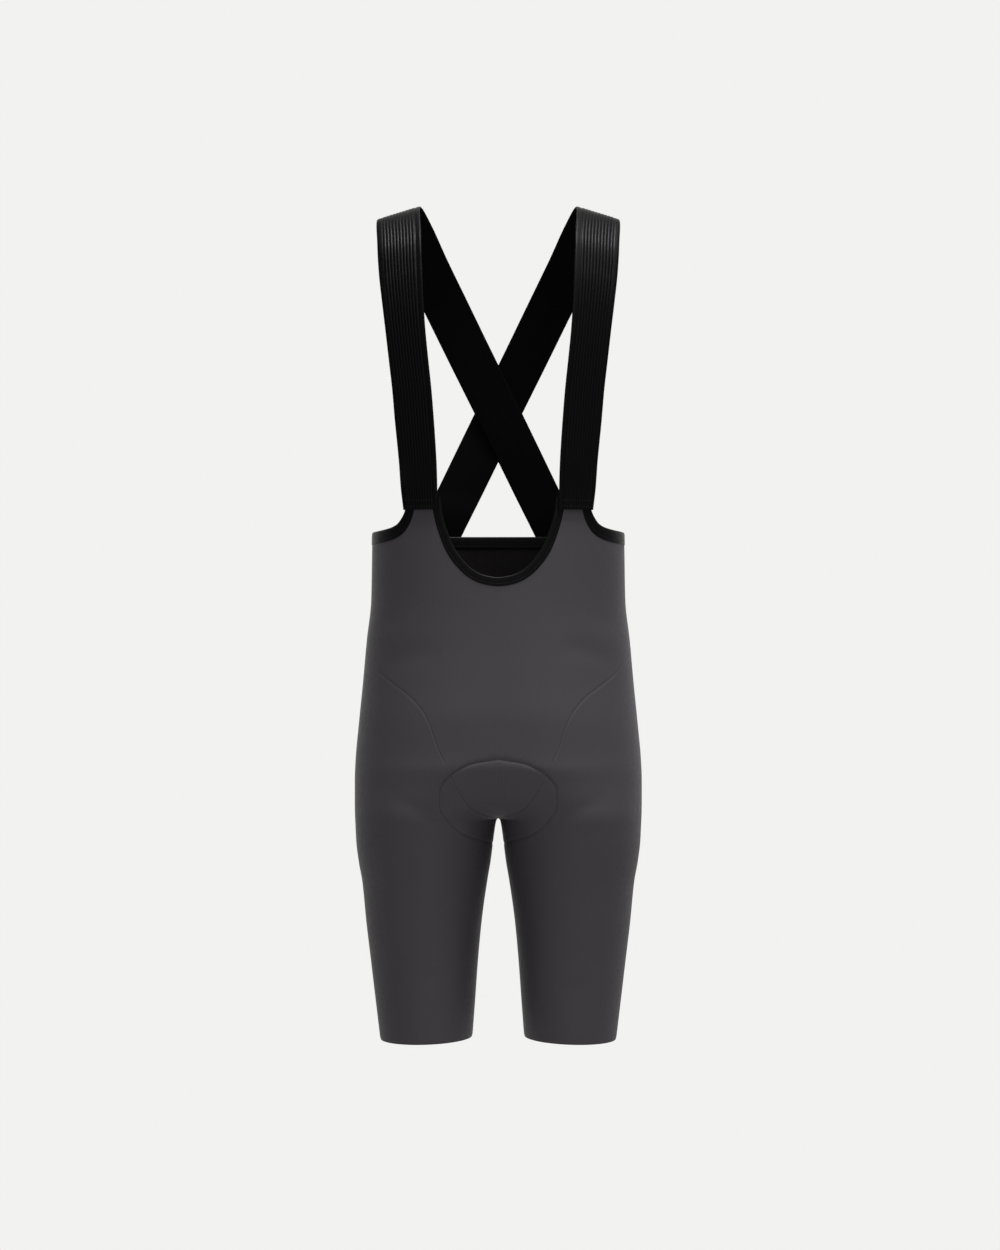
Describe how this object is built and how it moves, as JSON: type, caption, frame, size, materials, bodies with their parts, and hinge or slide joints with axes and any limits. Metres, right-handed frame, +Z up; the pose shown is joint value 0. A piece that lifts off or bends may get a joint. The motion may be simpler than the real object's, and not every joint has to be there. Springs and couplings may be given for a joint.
{
  "type": "cycling bib shorts",
  "caption": "Hollow, filled-out cycling bib shorts with a scooped front, bound edges, a seat pad and ribbed straps that cross at the back.",
  "frame": {"origin": "midway between the wearer's shoulders, level with the underside of both straps where they lie on the shoulders", "axes": "+X towards the wearer's left, -Y towards the front, +Z up along the body"},
  "size_m": [0.3016, 0.2189, 0.8733],
  "materials": {
    "cloth": "smooth matt stretch knit, dark grey",
    "padding": "soft matt fleece over foam, near black",
    "binding": "matt folded elastic tape, black",
    "strap_elastic": "ribbed elastic with a slight sheen, black"
  },
  "bodies": {
    "root": {"front_panel": "cloth", "back_panel": "cloth", "leg_left": "cloth", "leg_right": "cloth", "seat_pad": "padding", "neck_binding": "binding", "body_binding": "binding", "strap_left": "strap_elastic", "strap_right": "strap_elastic"}
  },
  "joints": []
}
